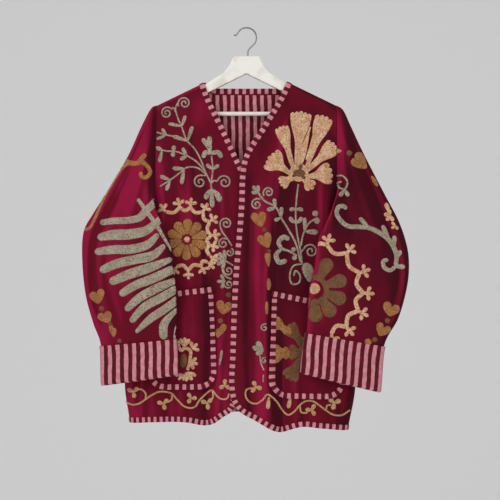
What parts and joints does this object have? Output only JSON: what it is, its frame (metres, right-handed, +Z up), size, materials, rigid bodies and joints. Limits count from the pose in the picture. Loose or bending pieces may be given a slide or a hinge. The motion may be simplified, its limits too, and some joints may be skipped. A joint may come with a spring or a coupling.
{
  "type": "suzani jacket on a wooden hanger",
  "caption": "Open velvet jacket with chain-stitch embroidery, patch pockets and striped turned-back cuffs, hung on a white wooden hanger.",
  "frame": {"origin": "inside top of the hook's crown, where a rail or nail holds it", "axes": "+X to the viewer's right across the jacket's front, +Y from the front to the back, +Z up"},
  "size_m": [0.78, 0.0997, 0.9759],
  "materials": {
    "velvet": "burgundy cotton velvet with soft nap",
    "striped_lining": "plain-woven cotton with dark red and pink stripes",
    "striped_binding": "folded striped cotton strip, stripes across it",
    "embroidery": "dense chain stitch in peach, ochre, grey-green and brown thread",
    "white_wood": "satin white paint",
    "hook_steel": "polished wire"
  },
  "bodies": {
    "root": {"back": "velvet", "left_front": "velvet", "right_front": "velvet", "left_sleeve": "velvet", "right_sleeve": "velvet", "left_pocket": "velvet", "right_pocket": "velvet", "back_lining": "striped_lining", "left_cuff": "striped_lining", "right_cuff": "striped_lining", "neck_binding_back": "striped_binding", "neck_binding_left_front": "striped_binding", "neck_binding_right_front": "striped_binding", "hem_binding_back": "striped_binding", "hem_binding_left_front": "striped_binding", "hem_binding_right_front": "striped_binding", "left_pocket_edge_binding": "striped_binding", "left_pocket_mouth_binding": "striped_binding", "right_pocket_edge_binding": "striped_binding", "right_pocket_mouth_binding": "striped_binding", "hanger_body": "white_wood", "hanger_bar": "white_wood", "hanger_hook": "hook_steel"}
  },
  "joints": []
}
